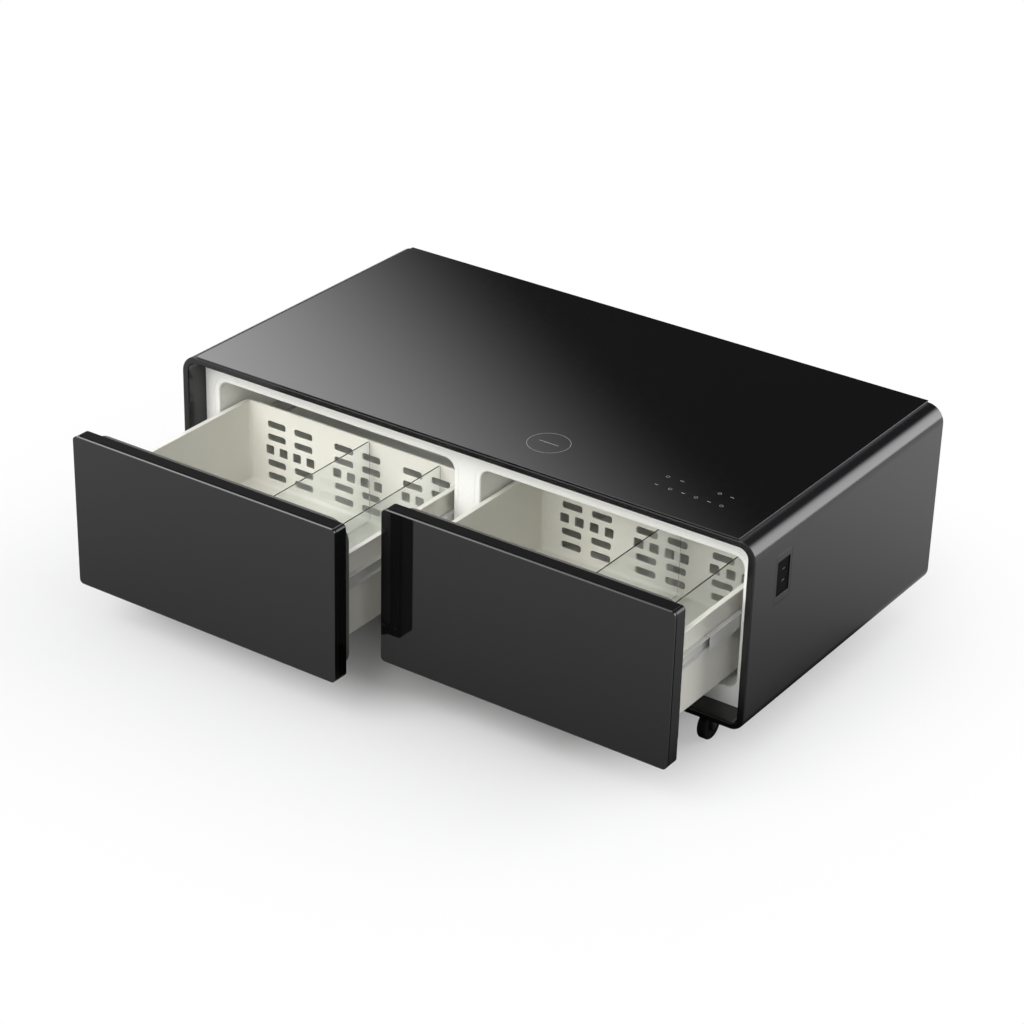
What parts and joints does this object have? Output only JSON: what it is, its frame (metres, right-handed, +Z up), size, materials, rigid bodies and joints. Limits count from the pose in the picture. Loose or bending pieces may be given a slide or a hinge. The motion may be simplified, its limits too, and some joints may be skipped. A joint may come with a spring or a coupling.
{
  "type": "refrigerator coffee table",
  "caption": "Low cabinet on swivel casters with a dark glass top and side-by-side refrigerated drawers that slide out, each a white bin with clear dividers behind a glass front.",
  "frame": {"origin": "on the floor, at the centre of the bounding box of the table with its drawers open as pictured", "axes": "+X to the right along the table's length, +Y from the drawer fronts to the back, +Z up"},
  "size_m": [1.3, 1.046, 0.46],
  "materials": {
    "outer_shell": "high-gloss dark grey lacquer",
    "glass_top": "black back-painted tempered glass, polished",
    "face_frame": "smooth warm white",
    "left_liner": "smooth warm white",
    "right_liner": "smooth warm white",
    "insulation": "rigid cream foam",
    "rear_panel": "fine matt black",
    "compressor": "satin black paint",
    "condenser": "mill finish fins",
    "condenser_fan_frame": "moulded black",
    "condenser_fan_rotor": "moulded black",
    "left_evaporator": "mill finish fins",
    "right_evaporator": "mill finish fins",
    "left_fan_rotor": "moulded black",
    "right_fan_rotor": "moulded black",
    "control_board": "green solder mask",
    "touch_board": "green solder mask",
    "charging_coil": "wound copper",
    "port_module": "moulded black with a grey bezel",
    "power_inlet": "moulded black",
    "left_strip_light": "milky diffuser",
    "right_strip_light": "milky diffuser",
    "discharge_pipe": "drawn copper",
    "suction_pipe": "drawn copper",
    "left_front_glass": "dark grey back-painted glass",
    "left_front_core": "satin black",
    "left_gasket": "soft black",
    "left_bin": "smooth warm white",
    "left_divider_1": "clear",
    "left_divider_2": "clear",
    "left_drawer_left_fixed_rail": "zinc plated",
    "left_drawer_left_mid_rail": "zinc plated",
    "left_drawer_left_runner": "white powder coat",
    "left_drawer_right_fixed_rail": "zinc plated",
    "left_drawer_right_mid_rail": "zinc plated",
    "left_drawer_right_runner": "white powder coat",
    "right_front_glass": "dark grey back-painted glass",
    "right_front_core": "satin black",
    "right_gasket": "soft black",
    "right_bin": "smooth warm white",
    "right_divider_1": "clear",
    "right_divider_2": "clear",
    "right_drawer_left_fixed_rail": "zinc plated",
    "right_drawer_left_mid_rail": "zinc plated",
    "right_drawer_left_runner": "white powder coat",
    "right_drawer_right_fixed_rail": "zinc plated",
    "right_drawer_right_mid_rail": "zinc plated",
    "right_drawer_right_runner": "white powder coat",
    "front_left_caster_plate": "black",
    "front_left_caster_fork": "black",
    "front_left_caster_wheel": "matt black tread",
    "front_right_caster_plate": "black",
    "front_right_caster_fork": "black",
    "front_right_caster_wheel": "matt black tread",
    "rear_left_caster_plate": "black",
    "rear_left_caster_fork": "black",
    "rear_left_caster_wheel": "matt black tread",
    "rear_right_caster_plate": "black",
    "rear_right_caster_fork": "black",
    "rear_right_caster_wheel": "matt black tread"
  },
  "bodies": {
    "cabinet": {"outer_shell": "outer_shell", "glass_top": "glass_top", "face_frame": "face_frame", "left_liner": "left_liner", "right_liner": "right_liner", "insulation": "insulation", "rear_panel": "rear_panel", "compressor": "compressor", "condenser": "condenser", "condenser_fan_frame": "condenser_fan_frame", "left_evaporator": "left_evaporator", "right_evaporator": "right_evaporator", "control_board": "control_board", "touch_board": "touch_board", "charging_coil": "charging_coil", "port_module": "port_module", "power_inlet": "power_inlet", "left_strip_light": "left_strip_light", "right_strip_light": "right_strip_light", "discharge_pipe": "discharge_pipe", "suction_pipe": "suction_pipe", "left_drawer_left_fixed_rail": "left_drawer_left_fixed_rail", "left_drawer_right_fixed_rail": "left_drawer_right_fixed_rail", "right_drawer_left_fixed_rail": "right_drawer_left_fixed_rail", "right_drawer_right_fixed_rail": "right_drawer_right_fixed_rail", "front_left_caster_plate": "front_left_caster_plate", "front_right_caster_plate": "front_right_caster_plate", "rear_left_caster_plate": "rear_left_caster_plate", "rear_right_caster_plate": "rear_right_caster_plate"},
    "condenser_fan_rotor": {"condenser_fan_rotor": "condenser_fan_rotor"},
    "left_fan_rotor": {"left_fan_rotor": "left_fan_rotor"},
    "right_fan_rotor": {"right_fan_rotor": "right_fan_rotor"},
    "front_left_caster_fork": {"front_left_caster_fork": "front_left_caster_fork"},
    "front_left_caster_wheel": {"front_left_caster_wheel": "front_left_caster_wheel"},
    "front_right_caster_fork": {"front_right_caster_fork": "front_right_caster_fork"},
    "front_right_caster_wheel": {"front_right_caster_wheel": "front_right_caster_wheel"},
    "rear_left_caster_fork": {"rear_left_caster_fork": "rear_left_caster_fork"},
    "rear_left_caster_wheel": {"rear_left_caster_wheel": "rear_left_caster_wheel"},
    "rear_right_caster_fork": {"rear_right_caster_fork": "rear_right_caster_fork"},
    "rear_right_caster_wheel": {"rear_right_caster_wheel": "rear_right_caster_wheel"},
    "left_drawer": {"left_front_glass": "left_front_glass", "left_front_core": "left_front_core", "left_gasket": "left_gasket", "left_bin": "left_bin", "left_divider_1": "left_divider_1", "left_divider_2": "left_divider_2", "left_drawer_left_runner": "left_drawer_left_runner", "left_drawer_right_runner": "left_drawer_right_runner"},
    "right_drawer": {"right_front_glass": "right_front_glass", "right_front_core": "right_front_core", "right_gasket": "right_gasket", "right_bin": "right_bin", "right_divider_1": "right_divider_1", "right_divider_2": "right_divider_2", "right_drawer_left_runner": "right_drawer_left_runner", "right_drawer_right_runner": "right_drawer_right_runner"},
    "left_mid_rails": {"left_drawer_left_mid_rail": "left_drawer_left_mid_rail", "left_drawer_right_mid_rail": "left_drawer_right_mid_rail"},
    "right_mid_rails": {"right_drawer_left_mid_rail": "right_drawer_left_mid_rail", "right_drawer_right_mid_rail": "right_drawer_right_mid_rail"}
  },
  "joints": [
    {"name": "left_drawer_slide", "type": "slide", "parent": "cabinet", "child": "left_drawer", "axis": [0, -1, 0], "range_m": [-0.34, 0.06]},
    {"name": "left_mid_rail_slide", "type": "slide", "parent": "cabinet", "child": "left_mid_rails", "axis": [0, -1, 0], "range_m": [-0.17, 0.03]},
    {"name": "right_drawer_slide", "type": "slide", "parent": "cabinet", "child": "right_drawer", "axis": [0, -1, 0], "range_m": [-0.2227, 0.1773]},
    {"name": "right_mid_rail_slide", "type": "slide", "parent": "cabinet", "child": "right_mid_rails", "axis": [0, -1, 0], "range_m": [-0.11135, 0.08865]},
    {"name": "front_left_caster_swivel", "type": "hinge", "parent": "cabinet", "child": "front_left_caster_fork", "pos_m": [-0.545, -0.103, 0.066], "axis": [0, 0, 1], "continuous": true},
    {"name": "front_left_caster_roll", "type": "hinge", "parent": "front_left_caster_fork", "child": "front_left_caster_wheel", "pos_m": [-0.545, -0.123, 0.029], "axis": [1, 0, 0], "continuous": true},
    {"name": "front_right_caster_swivel", "type": "hinge", "parent": "cabinet", "child": "front_right_caster_fork", "pos_m": [0.545, -0.103, 0.066], "axis": [0, 0, 1], "continuous": true},
    {"name": "front_right_caster_roll", "type": "hinge", "parent": "front_right_caster_fork", "child": "front_right_caster_wheel", "pos_m": [0.545, -0.123, 0.029], "axis": [1, 0, 0], "continuous": true},
    {"name": "rear_left_caster_swivel", "type": "hinge", "parent": "cabinet", "child": "rear_left_caster_fork", "pos_m": [-0.545, 0.443, 0.066], "axis": [0, 0, 1], "continuous": true},
    {"name": "rear_left_caster_roll", "type": "hinge", "parent": "rear_left_caster_fork", "child": "rear_left_caster_wheel", "pos_m": [-0.545, 0.423, 0.029], "axis": [1, 0, 0], "continuous": true},
    {"name": "rear_right_caster_swivel", "type": "hinge", "parent": "cabinet", "child": "rear_right_caster_fork", "pos_m": [0.545, 0.443, 0.066], "axis": [0, 0, 1], "continuous": true},
    {"name": "rear_right_caster_roll", "type": "hinge", "parent": "rear_right_caster_fork", "child": "rear_right_caster_wheel", "pos_m": [0.545, 0.423, 0.029], "axis": [1, 0, 0], "continuous": true},
    {"name": "left_fan_spin", "type": "hinge", "parent": "cabinet", "child": "left_fan_rotor", "pos_m": [-0.31525, 0.3073, 0.259], "axis": [0, 1, 0], "continuous": true},
    {"name": "right_fan_spin", "type": "hinge", "parent": "cabinet", "child": "right_fan_rotor", "pos_m": [0.31525, 0.3073, 0.259], "axis": [0, 1, 0], "continuous": true},
    {"name": "condenser_fan_spin", "type": "hinge", "parent": "cabinet", "child": "condenser_fan_rotor", "pos_m": [-0.01, 0.454, 0.142], "axis": [0, 1, 0], "continuous": true}
  ],
  "couplings": [
    {"joint": "left_mid_rail_slide", "follows": "left_drawer_slide", "ratio": 0.5},
    {"joint": "right_mid_rail_slide", "follows": "right_drawer_slide", "ratio": 0.5}
  ]
}
